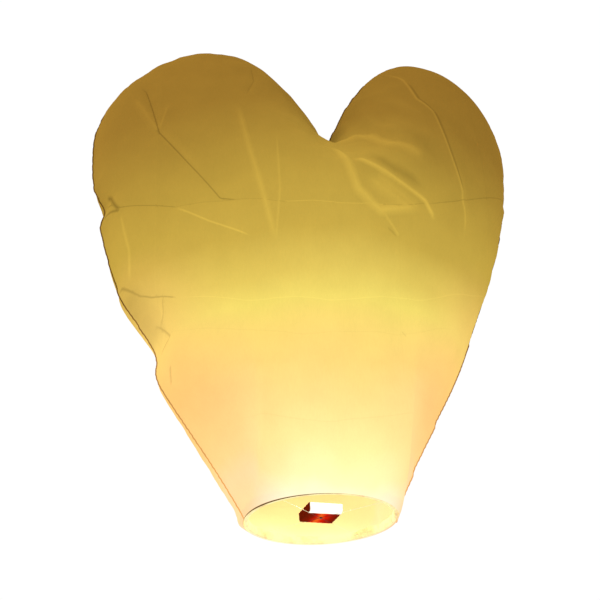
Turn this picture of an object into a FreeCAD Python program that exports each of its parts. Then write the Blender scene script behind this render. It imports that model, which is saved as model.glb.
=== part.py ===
import FreeCAD
import Part
import math
import os

os.makedirs("parts", exist_ok=True)

# A heart-shaped paper sky lantern, standing upright as it does when it is lit and full of hot air.
# The origin is the middle of the mouth, on the plane that the mouth stands on.
# X runs across the heart from lobe to lobe, Y is the depth of the bag, and Z is up.
# All sizes are in millimetres.

V = FreeCAD.Vector

# Bag: overall sizes of the inflated paper.
BAG_HEIGHT = 1055.0        # mouth plane to the tops of the two lobes
BAG_WIDTH = 870.0          # across the widest part of the heart, without the glued flange
BAG_DEPTH = 458.0          # front to back, half way up the panels
CLEFT_DROP = 218.0         # how far the cleft lies below the lobe tops
LOBE_OFFSET = 240.0        # distance of each lobe's top from the middle plane
WAIST_RISE = 790.0         # height of the widest part
SIDE_FLARE = 25.0          # degrees that the side edge leans out at the mouth
CLEFT_ANGLE = 56.0         # degrees that the edge rises out of the cleft, from level
LOBE_FULLNESS = 0.30       # extra depth in the middle of each lobe, as a share
VALLEY = 0.50              # how much the depth is pinched in above the middle, below the cleft
PAPER_WALL = 1.0           # wall of the solid that stands for the tissue paper
SIDE_LEAVE = 0.42          # how far the side edge keeps its direction above the mouth, as a share of its rise
SIDE_ARRIVE = 0.30         # and below the widest part
LOBE_ROUND_ACROSS = 0.56   # roundness of a lobe's outer side, across and upward
LOBE_ROUND_UP = 0.52
LOBE_ROUND_INNER = 0.50    # roundness of a lobe's inner side
CLEFT_REACH = 0.62         # how far the edge keeps its direction out of the cleft, as a share of the drop
CLEFT_POWER = 8            # how closely the inner skin's cleft and widest points keep to the edges
CLEFT_LIFT = 1.2           # thickness of the paper in the cleft, measured upright, in walls
CLEFT_BLEND = 0.2          # share of the top edge over which the cleft's skin turns square to the edge
MOUTH_POWER = 4            # how closely the skin at the side edge keeps level near the mouth
VALLEY_NARROW = 6          # how narrow the valley is across
VALLEY_HIGH = 5            # how far up the valley starts
FLANGE_WIDTH = 9.0         # glued margin that stands out along the side and top edges
FLANGE_THICKNESS = 0.8     # two margins and the glue between them

# Bamboo hoop: one split strip, bent round, with its ends lapped.
HOOP_BORE = 276.0          # inside diameter of the strip
STRIP_THICKNESS = 1.8
STRIP_HEIGHT = 6.0
LAP_LENGTH = 62.0          # length over which the two ends lie side by side
LAP_RAMP = 26.0            # length over which the outer end climbs onto the inner one
LAP_GAP = 0.1              # space between the two lapped layers, and between them and a binding
LAP_ANGLE = 90.0           # direction of the middle of the lap, at the back
BINDING_WIDTH = 7.0        # each thread binding, along the strip
BINDING_THICKNESS = 0.5
BINDING_INSET = 0.2        # place of each binding from its end of the lap, as a share of the lap

# Hem: the paper turned up round the hoop.
HEM_HEIGHT = 14.0
HEM_WALL = 0.8
HEM_ROOM = 1.0             # room round the strip for the bindings and the wound wire ends
HEM_SLIT = 0.4             # gap between the two hems at each side

# Iron wires that cross the mouth, and the post that carries the fuel.
WIRE_DIAMETER = 0.7
WIRE_ANGLE = 45.0          # direction of the first wire, and the second is square to it
WIRE_TURNS = 3             # turns wound round the strip at each end
WIRE_PITCH = 0.9           # step from one turn to the next, in wire diameters, so the turns press together
WIRE_EASE = 0.05           # space between a wound turn and the strip
POST_DIAMETER = 1.2
POST_STAND = 9.0           # how far the post stands above the fuel
KNOT_DIAMETER = 5.0        # twisted knot that ties the post to the crossing

# Fuel cell: a stack of square waxed sheets with a hole for the post.
FUEL_WIDTH = 68.0
FUEL_SHEETS = 8
SHEET_THICKNESS = 2.0
FUEL_HOLE = 2.4
FUEL_TURN = 5.5            # degrees that the stack is turned on its post

# Free space between pieces that move past each other.
MOVING_GAP = 0.4

# Grid steps of the panel surfaces.
ACROSS = 22
UPWARD = 30

# Heights and radii that follow from the sizes above.
STRIP_BASE = HEM_WALL + HEM_ROOM
STRIP_BORE_RADIUS = HOOP_BORE / 2.0
STRIP_OUTER_RADIUS = STRIP_BORE_RADIUS + STRIP_THICKNESS
LAP_STEP = STRIP_THICKNESS + LAP_GAP
HEM_INNER_RADIUS = STRIP_BORE_RADIUS - HEM_ROOM - HEM_WALL
HEM_OUTER_RADIUS = STRIP_OUTER_RADIUS + HEM_ROOM + HEM_WALL
HOOP_PIVOT_Z = HEM_HEIGHT / 2.0
HOOP_REACH = math.hypot(HEM_OUTER_RADIUS + LAP_STEP, HOOP_PIVOT_Z)
MOUTH_RADIUS = HOOP_REACH + MOVING_GAP + PAPER_WALL
HALF_WIDTH = BAG_WIDTH / 2.0
CLEFT_Z = BAG_HEIGHT - CLEFT_DROP
SEAM_HALF = FLANGE_THICKNESS / 2.0
WIRE_RADIUS = WIRE_DIAMETER / 2.0
LOWER_WIRE_Z = STRIP_BASE + STRIP_HEIGHT / 2.0
UPPER_WIRE_Z = LOWER_WIRE_Z + WIRE_DIAMETER + WIRE_EASE
KNOT_TOP_Z = UPPER_WIRE_Z + WIRE_DIAMETER
FUEL_BASE_Z = KNOT_TOP_Z + MOVING_GAP
FUEL_TOP_Z = FUEL_BASE_Z + FUEL_SHEETS * SHEET_THICKNESS


def save(shape, node):
    """Write one piece, after checking that it is one sound solid."""
    if len(shape.Solids) != 1 or not shape.isValid():
        raise ValueError(node + " isn't one sound solid")
    shape.Solids[0].exportStep("parts/" + node + ".step")


def smooth(share):
    """Ease from 0 to 1 with level ends."""
    share = min(1.0, max(0.0, share))
    return share * share * (3.0 - 2.0 * share)


# ---- Outline of the heart, in the XZ plane, right half ----

def cubic(points, share):
    """Point and direction on a cubic curve with four control points."""
    left = 1.0 - share
    place = [left ** 3, 3.0 * left * left * share, 3.0 * left * share * share, share ** 3]
    step = [-left * left, left * left - 2.0 * left * share, 2.0 * left * share - share * share, share * share]
    spot = [sum(w * p[axis] for w, p in zip(place, points)) for axis in (0, 1)]
    heading = [sum(w * p[axis] for w, p in zip(step, points)) for axis in (0, 1)]
    return spot, heading


def side_curve():
    """Side edge, from the corner of the mouth up to the widest point."""
    corner = (MOUTH_RADIUS, 0.0)
    widest = (HALF_WIDTH, WAIST_RISE)
    lean = math.radians(SIDE_FLARE)
    first = WAIST_RISE * SIDE_LEAVE
    last = WAIST_RISE * SIDE_ARRIVE
    leave = (corner[0] + first * math.sin(lean), first * math.cos(lean))
    return [corner, leave, (widest[0], widest[1] - last), widest]


def lobe_outer_curve():
    """Edge from the lobe's top down to the widest point."""
    top = (LOBE_OFFSET, BAG_HEIGHT)
    widest = (HALF_WIDTH, WAIST_RISE)
    reach = (HALF_WIDTH - LOBE_OFFSET) * LOBE_ROUND_ACROSS
    drop = (BAG_HEIGHT - WAIST_RISE) * LOBE_ROUND_UP
    return [top, (top[0] + reach, top[1]), (widest[0], widest[1] + drop), widest]


def lobe_inner_curve():
    """Edge from the cleft up to the lobe's top."""
    rise = math.radians(CLEFT_ANGLE)
    cleft = (0.0, CLEFT_Z)
    top = (LOBE_OFFSET, BAG_HEIGHT)
    first = CLEFT_DROP * CLEFT_REACH
    last = LOBE_OFFSET * LOBE_ROUND_INNER
    leave = (first * math.cos(rise), CLEFT_Z + first * math.sin(rise))
    return [cleft, leave, (top[0] - last, top[1]), top]


SIDE = side_curve()
LOBE_OUTER = lobe_outer_curve()
LOBE_INNER = lobe_inner_curve()
LOBE_SPLIT = 0.52          # share of the top edge that lies between the cleft and the lobe's top


def inward(heading, turn):
    """Unit normal of an edge, turned to the inside of the heart."""
    length = math.hypot(heading[0], heading[1])
    return (turn * -heading[1] / length, turn * heading[0] / length)


def side_edge(share, inset):
    """Side edge moved in by inset, kept level with the mouth plane at its lower end."""
    spot, heading = cubic(SIDE, share)
    normal = inward(heading, 1.0)
    level = (1.0 - share) ** MOUTH_POWER
    across = normal[0] - (1.0 + normal[0]) * level
    return (spot[0] + inset * across, spot[1] + inset * normal[1] * share)


def top_edge(share, inset):
    """Top edge moved in by inset, kept on the middle plane at the cleft."""
    if share < LOBE_SPLIT:
        spot, heading = cubic(LOBE_INNER, share / LOBE_SPLIT)
    else:
        spot, heading = cubic(LOBE_OUTER, (share - LOBE_SPLIT) / (1.0 - LOBE_SPLIT))
    normal = inward(heading, -1.0)
    fade = smooth(share / CLEFT_BLEND)
    pinch = (1.0 - share) ** CLEFT_POWER
    drop = normal[1] - (CLEFT_LIFT + normal[1]) * pinch
    rest = share ** CLEFT_POWER
    return (spot[0] + inset * (normal[0] * fade * (1.0 - rest) - rest), spot[1] + inset * drop * (1.0 - rest))


# ---- Surface of one quarter of the bag ----

def depth_at(rise, inset):
    """Half depth of the bag on its middle line, for a rise from 0 at the mouth to 1 at the cleft."""
    quarter = math.pi / 2.0
    at_mouth = MOUTH_RADIUS - inset
    belly = (BAG_DEPTH / 2.0 - MOUTH_RADIUS * math.cos(quarter / 2.0)) * (1.0 - 2.0 * inset / BAG_DEPTH)
    return at_mouth * math.cos(quarter * rise) + belly * math.sin(2.0 * quarter * rise)


def bag_point(across, rise, inset, side, face):
    """Point on the bag: across runs from the middle line to the edge and rise from mouth to top."""
    quarter = math.pi / 2.0
    u = math.sin(quarter * across)
    v = math.sin(quarter * rise)
    mouth = ((MOUTH_RADIUS - inset) * u, 0.0)
    middle_top = top_edge(0.0, inset)
    middle = (0.0, middle_top[1] * v)
    edge = side_edge(v, inset)
    top = top_edge(u, inset)
    corner = (MOUTH_RADIUS - inset, 0.0)
    widest = side_edge(1.0, inset)
    spot = []
    for axis in (0, 1):
        lofted = (1.0 - v) * mouth[axis] + v * top[axis] + (1.0 - u) * middle[axis] + u * edge[axis]
        doubled = (1.0 - v) * u * corner[axis] + v * (1.0 - u) * middle_top[axis] + v * u * widest[axis]
        spot.append(lofted - doubled)
    bulge = 1.0 + LOBE_FULLNESS * math.sin(math.pi * across) ** 2 * rise
    pinch = 1.0 - VALLEY * math.cos(quarter * across) ** VALLEY_NARROW * rise ** VALLEY_HIGH
    depth = math.cos(quarter * across) * depth_at(rise, inset) * bulge * pinch
    if across == 1.0 or rise == 1.0:
        depth = 0.0
    return V(side * spot[0], face * (SEAM_HALF + depth), spot[1])


def quarter_surface(inset, side, face):
    """Smooth surface through a grid of bag points."""
    rows = []
    for i in range(ACROSS + 1):
        rows.append([bag_point(i / ACROSS, j / UPWARD, inset, side, face) for j in range(UPWARD + 1)])
    surface = Part.BSplineSurface()
    surface.interpolate(rows)
    return surface


def paper_panel(face):
    """One heart-shaped sheet of paper, open at the mouth; face is -1 for the front and 1 for the back."""
    faces = []
    for side in (-1.0, 1.0):
        outer = quarter_surface(0.0, side, face)
        inner = quarter_surface(PAPER_WALL, side, face)
        faces.append(outer.toShape())
        faces.append(inner.toShape())
        first_u, last_u, first_v, last_v = outer.bounds()
        in_first_u, in_last_u, in_first_v, in_last_v = inner.bounds()
        rims = [(outer.uIso(last_u), inner.uIso(in_last_u)),
                (outer.vIso(first_v), inner.vIso(in_first_v)),
                (outer.vIso(last_v), inner.vIso(in_last_v))]
        for outer_rim, inner_rim in rims:
            faces.append(Part.makeRuledSurface(outer_rim.toShape(), inner_rim.toShape()))
    shell = Part.makeShell(faces)
    shell.sewShape()
    solid = Part.makeSolid(shell)
    if solid.Volume < 0.0:
        solid.reverse()
    return solid


def seam_flange(side):
    """Glued margin of both panels, flat in the XZ plane, from the mouth round the lobe to the cleft."""
    steps = 40
    inner = []
    outer = []
    for i in range(steps + 1):
        inner.append(side_edge(i / steps, PAPER_WALL))
        outer.append(side_edge(i / steps, -FLANGE_WIDTH))
    for i in range(steps - 1, -1, -1):
        inner.append(top_edge(i / steps, PAPER_WALL))
        outer.append(top_edge(i / steps, -FLANGE_WIDTH))
    rims = []
    for points in (inner, outer):
        curve = Part.BSplineCurve()
        curve.interpolate([V(side * x, -SEAM_HALF, z) for x, z in points])
        rims.append(curve.toShape())
    foot = Part.makeLine(rims[0].valueAt(rims[0].FirstParameter), rims[1].valueAt(rims[1].FirstParameter))
    head = Part.makeLine(rims[0].valueAt(rims[0].LastParameter), rims[1].valueAt(rims[1].LastParameter))
    outline = Part.Wire(Part.__sortEdges__([rims[0], head, rims[1], foot]))
    return Part.Face(outline).extrude(V(0, FLANGE_THICKNESS, 0))


# ---- Bamboo hoop, bindings and hem ----

LAP_SWEEP = math.degrees(LAP_LENGTH / STRIP_BORE_RADIUS)
RAMP_SWEEP = math.degrees(LAP_RAMP / STRIP_BORE_RADIUS)
LAP_START = LAP_ANGLE - LAP_SWEEP / 2.0


def polar(radius, degrees, z):
    """Point at a radius and a direction round the Z axis."""
    angle = math.radians(degrees)
    return V(radius * math.cos(angle), radius * math.sin(angle), z)


def curve_round(radius_at, start, end, z, steps):
    """Smooth curve round the Z axis whose radius follows radius_at(degrees past the lap's start)."""
    points = []
    for i in range(steps + 1):
        past = start + (end - start) * i / steps
        points.append(polar(radius_at(past), LAP_START + past, z))
    curve = Part.BSplineCurve()
    curve.interpolate(points)
    return curve.toShape()


def bamboo_hoop():
    """Split strip: it starts inside the lap, goes once round, and climbs onto its own start."""
    def climb(past):
        return LAP_STEP * smooth((past - (360.0 - RAMP_SWEEP)) / RAMP_SWEEP)
    end = 360.0 + LAP_SWEEP
    inside = curve_round(lambda past: STRIP_BORE_RADIUS + climb(past), 0.0, end, STRIP_BASE, 160)
    outside = curve_round(lambda past: STRIP_OUTER_RADIUS + climb(past), 0.0, end, STRIP_BASE, 160)
    tail = Part.makeLine(polar(STRIP_BORE_RADIUS, LAP_START, STRIP_BASE),
                         polar(STRIP_OUTER_RADIUS, LAP_START, STRIP_BASE))
    tip = Part.makeLine(polar(STRIP_BORE_RADIUS + LAP_STEP, LAP_START + end, STRIP_BASE),
                        polar(STRIP_OUTER_RADIUS + LAP_STEP, LAP_START + end, STRIP_BASE))
    outline = Part.Wire(Part.__sortEdges__([inside, tip, outside, tail]))
    return Part.Face(outline).extrude(V(0, 0, STRIP_HEIGHT))


def thread_binding(share):
    """Thread wound round both layers of the lap; share is its place along the lap."""
    inner = V(2.0 * STRIP_THICKNESS + 3.0 * LAP_GAP, BINDING_WIDTH, STRIP_HEIGHT + 2.0 * LAP_GAP)
    corner = V(STRIP_BORE_RADIUS - LAP_GAP, -BINDING_WIDTH / 2.0, STRIP_BASE - LAP_GAP)
    hole = Part.makeBox(inner.x, inner.y, inner.z, corner)
    grow = BINDING_THICKNESS
    body = Part.makeBox(inner.x + 2.0 * grow, inner.y, inner.z + 2.0 * grow, corner - V(grow, 0, grow))
    long_edges = [edge for edge in body.Edges if abs(edge.tangentAt(edge.FirstParameter).y) > 0.9]
    body = body.makeFillet(grow, long_edges)
    ring = body.cut(hole)
    ring.rotate(V(0, 0, 0), V(0, 0, 1), LAP_START + share * LAP_SWEEP)
    return ring


def disc_with_lap(extra, z, height):
    """Round disc that follows the outside of the strip, lap included, grown by extra."""
    def outside(past):
        past = past % 360.0
        up = smooth((past - (360.0 - RAMP_SWEEP)) / RAMP_SWEEP)
        down = 1.0 - smooth((past - LAP_SWEEP) / RAMP_SWEEP)
        return STRIP_OUTER_RADIUS + extra + LAP_STEP * max(up, down)
    points = []
    steps = 144
    for i in range(steps):
        past = 360.0 * i / steps
        points.append(polar(outside(past), LAP_START + past, z))
    curve = Part.BSplineCurve()
    curve.interpolate(points, PeriodicFlag=True)
    return Part.Face(Part.Wire(curve.toShape())).extrude(V(0, 0, height))


def hem_ring():
    """Paper turned round the hoop: a channel that is open at the top, with holes for the wires."""
    outer = disc_with_lap(HEM_ROOM + HEM_WALL, 0.0, HEM_HEIGHT)
    bore = Part.makeCylinder(HEM_INNER_RADIUS, HEM_HEIGHT, V(0, 0, 0))
    channel = disc_with_lap(HEM_ROOM, HEM_WALL, HEM_HEIGHT)
    core = Part.makeCylinder(STRIP_BORE_RADIUS - HEM_ROOM, HEM_HEIGHT, V(0, 0, HEM_WALL))
    ring = outer.cut(bore).cut(channel.cut(core))
    for turn in range(4):
        z = LOWER_WIRE_Z if turn % 2 == 0 else UPPER_WIRE_Z
        hole = Part.makeCylinder(WIRE_RADIUS + 2.0 * WIRE_EASE, STRIP_BORE_RADIUS, V(0, 0, z), V(1, 0, 0))
        hole.rotate(V(0, 0, 0), V(0, 0, 1), WIRE_ANGLE + 90.0 * turn)
        ring = ring.cut(hole)
    return ring


def hem_half(ring, face):
    """Front (-1) or back (1) half of the hem."""
    size = 2.0 * (HEM_OUTER_RADIUS + LAP_STEP)
    corner_y = HEM_SLIT / 2.0 if face > 0 else -size - HEM_SLIT / 2.0
    return ring.common(Part.makeBox(2.0 * size, size, HEM_HEIGHT, V(-size, corner_y, 0)))


# ---- Wires, post and fuel ----

def wound_turn(offset):
    """One turn of wire round the strip, in the XZ plane, beside the end of a wire that lies along X."""
    reach = WIRE_RADIUS + WIRE_EASE
    low_x = STRIP_BORE_RADIUS - reach
    high_x = STRIP_OUTER_RADIUS + reach
    low_z = STRIP_BASE - reach
    high_z = STRIP_BASE + STRIP_HEIGHT + reach
    bend = reach               # radius of the wire's middle line at each corner
    runs = [(V(low_x, offset, low_z + bend), V(low_x, offset, high_z - bend)),
            (V(low_x + bend, offset, high_z), V(high_x - bend, offset, high_z)),
            (V(high_x, offset, high_z - bend), V(high_x, offset, low_z + bend)),
            (V(high_x - bend, offset, low_z), V(low_x + bend, offset, low_z))]
    solids = []
    for start, end in runs:
        way = end - start
        solids.append(Part.makeCylinder(WIRE_RADIUS, way.Length, start, way))
    hubs = [V(low_x + bend, offset, high_z - bend), V(high_x - bend, offset, high_z - bend),
            V(high_x - bend, offset, low_z + bend), V(low_x + bend, offset, low_z + bend)]
    for run, hub in zip(runs, hubs):
        disc = Part.Face(Part.Wire(Part.makeCircle(WIRE_RADIUS, run[1], run[1] - run[0])))
        solids.append(disc.revolve(hub, V(0, 1, 0), 90.0))
    return solids[0].multiFuse(solids[1:]).removeSplitter()


def cross_wire(angle, wire_z):
    """Straight wire across the mouth, with both ends wound round the strip."""
    span = STRIP_BORE_RADIUS - WIRE_RADIUS - WIRE_EASE
    straight = Part.makeCylinder(WIRE_RADIUS, 2.0 * span, V(-span, 0, wire_z), V(1, 0, 0))
    pitch = WIRE_DIAMETER * WIRE_PITCH
    turns = []
    for end in (0.0, 180.0):
        for count in range(WIRE_TURNS):
            turn = wound_turn((count - (WIRE_TURNS - 1) / 2.0) * pitch)
            turn.rotate(V(0, 0, 0), V(0, 0, 1), end)
            turns.append(turn)
    wire = straight.multiFuse(turns)
    wire.rotate(V(0, 0, 0), V(0, 0, 1), angle)
    return wire


def fuel_post():
    """Upright wire post, tied to the crossing by a twisted knot."""
    knot_base = LOWER_WIRE_Z - WIRE_DIAMETER
    knot = Part.makeCylinder(KNOT_DIAMETER / 2.0, KNOT_TOP_Z - knot_base, V(0, 0, knot_base))
    knot = knot.makeFillet(WIRE_RADIUS, [edge for edge in knot.Edges if len(edge.Vertexes) == 1])
    rod = Part.makeCylinder(POST_DIAMETER / 2.0, FUEL_TOP_Z + POST_STAND - UPPER_WIRE_Z, V(0, 0, UPPER_WIRE_Z))
    tip = Part.makeSphere(POST_DIAMETER / 2.0, V(0, 0, FUEL_TOP_Z + POST_STAND))
    post = knot.multiFuse([rod, tip])
    for angle, z in ((WIRE_ANGLE, LOWER_WIRE_Z), (WIRE_ANGLE + 90.0, UPPER_WIRE_Z)):
        reach = KNOT_DIAMETER
        bed = Part.makeCylinder(WIRE_RADIUS + WIRE_EASE / 2.0, 2.0 * reach, V(-reach, 0, z), V(1, 0, 0))
        bed.rotate(V(0, 0, 0), V(0, 0, 1), angle)
        post = post.cut(bed)
    return post


def fuel_sheet(index):
    """One waxed sheet of the stack, with a hole for the post."""
    half = FUEL_WIDTH / 2.0
    base = FUEL_BASE_Z + index * SHEET_THICKNESS
    sheet = Part.makeBox(FUEL_WIDTH, FUEL_WIDTH, SHEET_THICKNESS, V(-half, -half, base))
    sheet = sheet.cut(Part.makeCylinder(FUEL_HOLE / 2.0, SHEET_THICKNESS, V(0, 0, base)))
    sheet.rotate(V(0, 0, 0), V(0, 0, 1), FUEL_TURN)
    return sheet


# ---- Pieces ----

save(paper_panel(-1.0), "front_panel")
save(paper_panel(1.0), "back_panel")
save(seam_flange(-1.0), "left_seam")
save(seam_flange(1.0), "right_seam")

save(bamboo_hoop(), "bamboo_hoop")
save(thread_binding(BINDING_INSET), "thread_binding_1")
save(thread_binding(1.0 - BINDING_INSET), "thread_binding_2")
HEM = hem_ring()
save(hem_half(HEM, -1.0), "front_hem")
save(hem_half(HEM, 1.0), "back_hem")
save(cross_wire(WIRE_ANGLE, LOWER_WIRE_Z), "cross_wire_lower")
save(cross_wire(WIRE_ANGLE + 90.0, UPPER_WIRE_Z), "cross_wire_upper")
save(fuel_post(), "fuel_post")

for number in range(FUEL_SHEETS):
    save(fuel_sheet(number), "fuel_sheet_" + str(number + 1))
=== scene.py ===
"""Looks of a heart-shaped paper sky lantern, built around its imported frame, in metres."""
import math

import bpy
import numpy as np
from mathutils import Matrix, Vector, geometry
from mathutils.bvhtree import BVHTree


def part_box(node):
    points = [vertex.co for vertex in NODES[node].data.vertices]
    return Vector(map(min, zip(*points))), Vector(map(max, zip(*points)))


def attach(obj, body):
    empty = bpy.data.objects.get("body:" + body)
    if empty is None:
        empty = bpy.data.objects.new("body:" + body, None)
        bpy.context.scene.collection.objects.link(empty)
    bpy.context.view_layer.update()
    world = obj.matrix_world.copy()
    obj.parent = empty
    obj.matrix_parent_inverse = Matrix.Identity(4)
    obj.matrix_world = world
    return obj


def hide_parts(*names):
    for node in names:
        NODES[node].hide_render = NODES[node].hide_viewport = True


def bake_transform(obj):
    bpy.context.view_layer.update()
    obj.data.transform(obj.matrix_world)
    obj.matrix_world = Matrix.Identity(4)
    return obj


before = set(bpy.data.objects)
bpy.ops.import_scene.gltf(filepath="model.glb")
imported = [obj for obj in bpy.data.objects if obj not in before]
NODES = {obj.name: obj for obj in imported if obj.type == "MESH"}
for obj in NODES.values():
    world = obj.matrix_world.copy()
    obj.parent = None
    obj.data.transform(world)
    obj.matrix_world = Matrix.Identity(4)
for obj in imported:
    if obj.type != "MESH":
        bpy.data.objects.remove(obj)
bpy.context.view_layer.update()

# ---- Places taken from the frame ----

HEM_LOW, HEM_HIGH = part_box("front_hem")
HEM_HEIGHT = HEM_HIGH.z
HEM_RADIUS = (HEM_HIGH.x - HEM_LOW.x) / 2.0
FUEL_LOW, FUEL_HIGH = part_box("fuel_sheet_1")
FUEL_SHEETS = 8
FUEL_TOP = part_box("fuel_sheet_" + str(FUEL_SHEETS))[1].z
FUEL_TURN = 5.5  # degrees that the stack is turned on its post
FUEL_SPREAD = math.cos(math.radians(FUEL_TURN)) + math.sin(math.radians(FUEL_TURN))
FUEL_HALF = (FUEL_HIGH.x - FUEL_LOW.x) / 2.0 / FUEL_SPREAD
MOUTH_RADIUS = HEM_RADIUS + 0.0022  # radius of the bag's paper at the hoop
FLAME = Vector((0.0, 0.0, FUEL_TOP + 0.037))

# ---- Cut of the paper, flat, before it is glued and filled ----

FLAT_MOUTH = math.pi * MOUTH_RADIUS / 2.0  # half of one sheet's mouth edge
CLEFT_HEIGHT = 0.872  # height of the cleft on the flat sheet
CLEFT_SHIFT = 0.044  # the cleft stands off the middle of this lantern
# Each half of the cut: half width and its height, lean of the flank at the mouth in degrees, place and height
# of the lobe's top, fullness outside and inside it, and the edge's rise and run where it leaves the cleft.
SIDES = {
    "left": {"half": 0.556, "waist": 0.82, "flare": 33.0, "lobe": 0.250, "top": 1.114, "round": 0.46,
             "inner": 0.72, "rise": 69.0, "leave": 0.64},
    "right": {"half": 0.565, "waist": 0.85, "flare": 20.0, "lobe": 0.330, "top": 1.138, "round": 0.55,
              "inner": 0.60, "rise": 63.0, "leave": 0.52},
}
FLAT_LENGTH = max(side["top"] for side in SIDES.values())
SEAM_MARGIN = 0.003  # width of the glued margin that shows outside the bag

# ---- Simulation ----

GRID = 0.0125  # spacing of the paper's simulated points
FRAMES = 34
FINE = 0.0090  # spacing of the finished sheet's points away from its creases
MILLIMETRES = 1000.0  # in a metre
LINE = 1.6  # half width of a crease's own sharp line, in millimetres
STEP = 0.005  # spacing of points along a crease
PRESSURE = 7.0  # push of the hot air, which grows from the mouth up
START_DEPTH = 0.21  # depth of the rough start, front to back of one sheet
ROW_REACH = 0.6  # rows of points reach this far to both sides of the cut's middle
CLOTH = {"quality": 6, "mass": 0.02, "air_damping": 2.0, "tension_stiffness": 60.0,
         "compression_stiffness": 60.0, "shear_stiffness": 30.0, "bending_stiffness": 0.4,
         "tension_damping": 20.0, "compression_damping": 20.0, "shear_damping": 20.0, "bending_damping": 0.5,
         "vertex_group_mass": "held", "use_pressure": True, "vertex_group_pressure": "pushed"}


def smooth(share):
    """Ease from 0 to 1 with level ends, for numbers or arrays."""
    share = np.clip(share, 0.0, 1.0)
    return share * share * (3.0 - 2.0 * share)


def read(items, key, width=1, kind=float):
    """Values of one kind from a mesh, as an array."""
    values = np.zeros(len(items) * width, kind)
    items.foreach_get(key, values)
    return values.reshape(-1, width) if width > 1 else values


def placed(name, data):
    """An object of the scene that shows the data."""
    made = bpy.data.objects.new(name, data)
    bpy.context.scene.collection.objects.link(made)
    return made


def lengths(path):
    """Length of a flat path up to each of its points."""
    return np.r_[0.0, np.cumsum(np.hypot(*np.diff(path, axis=0).T))]


def walk(path, step):
    """A path with its points evenly spaced."""
    path = np.array(path, float)
    along = lengths(path)
    places = np.linspace(0.0, along[-1], max(2, int(round(along[-1] / step)) + 1))
    return np.stack([np.interp(places, along, path[:, 0]), np.interp(places, along, path[:, 1])], 1)


def square_to(path):
    """Directions square to a flat path at its points."""
    way = np.gradient(path, axis=0)
    way /= np.linalg.norm(way, axis=1)[:, None]
    return way[:, ::-1] * [-1.0, 1.0]


def cubic(points, share):
    """Points on a cubic curve with four control points."""
    left = 1.0 - share
    weights = (left ** 3, 3 * left * left * share, 3 * left * share * share, share ** 3)
    return sum(np.outer(weight, np.array(point)) for weight, point in zip(weights, points))


def half_cut(side):
    """Edge of one half of the heart from the corner of the mouth to the cleft, evenly spaced."""
    share = np.linspace(0.0, 1.0, 200)
    corner = (FLAT_MOUTH, 0.0)
    widest = (side["half"], side["waist"])
    top = (side["lobe"], side["top"])
    cleft = (0.0, CLEFT_HEIGHT)
    lean = math.radians(side["flare"])
    rise = math.radians(side["rise"])
    leave = 0.42 * side["waist"]
    from_cleft = side["leave"] * (side["top"] - CLEFT_HEIGHT)
    flank = cubic([corner, (corner[0] + leave * math.sin(lean), leave * math.cos(lean)),
                   (widest[0], 0.70 * widest[1]), widest], share)
    outer = cubic([widest, (widest[0], widest[1] + side["round"] * (top[1] - widest[1])),
                   (top[0] + side["round"] * (widest[0] - top[0]), top[1]), top], share)
    inner = cubic([top, (side["inner"] * top[0], top[1]),
                   (from_cleft * math.cos(rise), cleft[1] + from_cleft * math.sin(rise)), cleft], share)
    return walk(np.vstack([flank, outer[1:], inner[1:]]), 0.9 * GRID)


def shift_cleft(points):
    """Move the cut's points near the cleft sideways."""
    near = np.clip((points[:, 1] - 0.55) / 0.30, 0.0, 1.0) ** 2 * np.exp(-(points[:, 0] / 0.22) ** 2)
    points[:, 0] += CLEFT_SHIFT * near
    return points


def inside(points, loop):
    """Which points lie inside a closed loop."""
    x, z = points[:, 0:1], points[:, 1:2]
    x1, z1 = loop[:, 0], loop[:, 1]
    x2, z2 = np.roll(x1, -1), np.roll(z1, -1)
    crossed = ((z1 > z) != (z2 > z)) & (x < (x2 - x1) * (z - z1) / (z2 - z1 + 1e-15) + x1)
    return crossed.sum(1) % 2 == 1


def clearance(points, loop, closed=True):
    """Distance of each point from a loop, or from an open line."""
    best = np.full(len(points), 9.0)
    ends = np.roll(loop, -1, 0) if closed else loop[1:]
    for start, end in zip(loop, ends):
        way = end - start
        share = np.clip(((points - start) @ way) / (way @ way + 1e-15), 0.0, 1.0)
        best = np.minimum(best, np.hypot(*(points - start - share[:, None] * way).T))
    return best


def even_rows(spacing):
    """Points of even triangles over the whole cut, row by row."""
    pitch = spacing * math.sqrt(3.0) / 2.0
    count = int(ROW_REACH / spacing)
    columns = np.arange(-count, count + 1) * spacing
    rows = [np.stack([columns + (row % 2) * spacing / 2.0, np.full(len(columns), row * pitch)], 1)
            for row in range(1, int(FLAT_LENGTH / pitch) + 1)]
    return np.vstack(rows)


def well_inside(points, loop, gap):
    """The points inside a loop that keep a gap from it."""
    points = points[inside(points, loop)]
    return points[clearance(points, loop) > gap]


def triangles_between(points, edges, tolerance, least=0.0):
    """Points and triangles of a flat sheet with given edges, all facing one way, and twice their areas."""
    made = geometry.delaunay_2d_cdt([Vector(point) for point in points], edges, [], 1, tolerance)
    points = np.array([point[:] for point in made[0]])
    faces = np.array([list(face) for face in made[2]])
    a, b, c = (points[faces[:, corner]] for corner in range(3))
    area = (b - a)[:, 0] * (c - a)[:, 1] - (b - a)[:, 1] * (c - a)[:, 0]
    faces = faces[np.abs(area) >= least]
    area = area[np.abs(area) >= least]
    faces[area < 0.0] = faces[area < 0.0][:, ::-1]
    return points, faces, np.abs(area)


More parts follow.
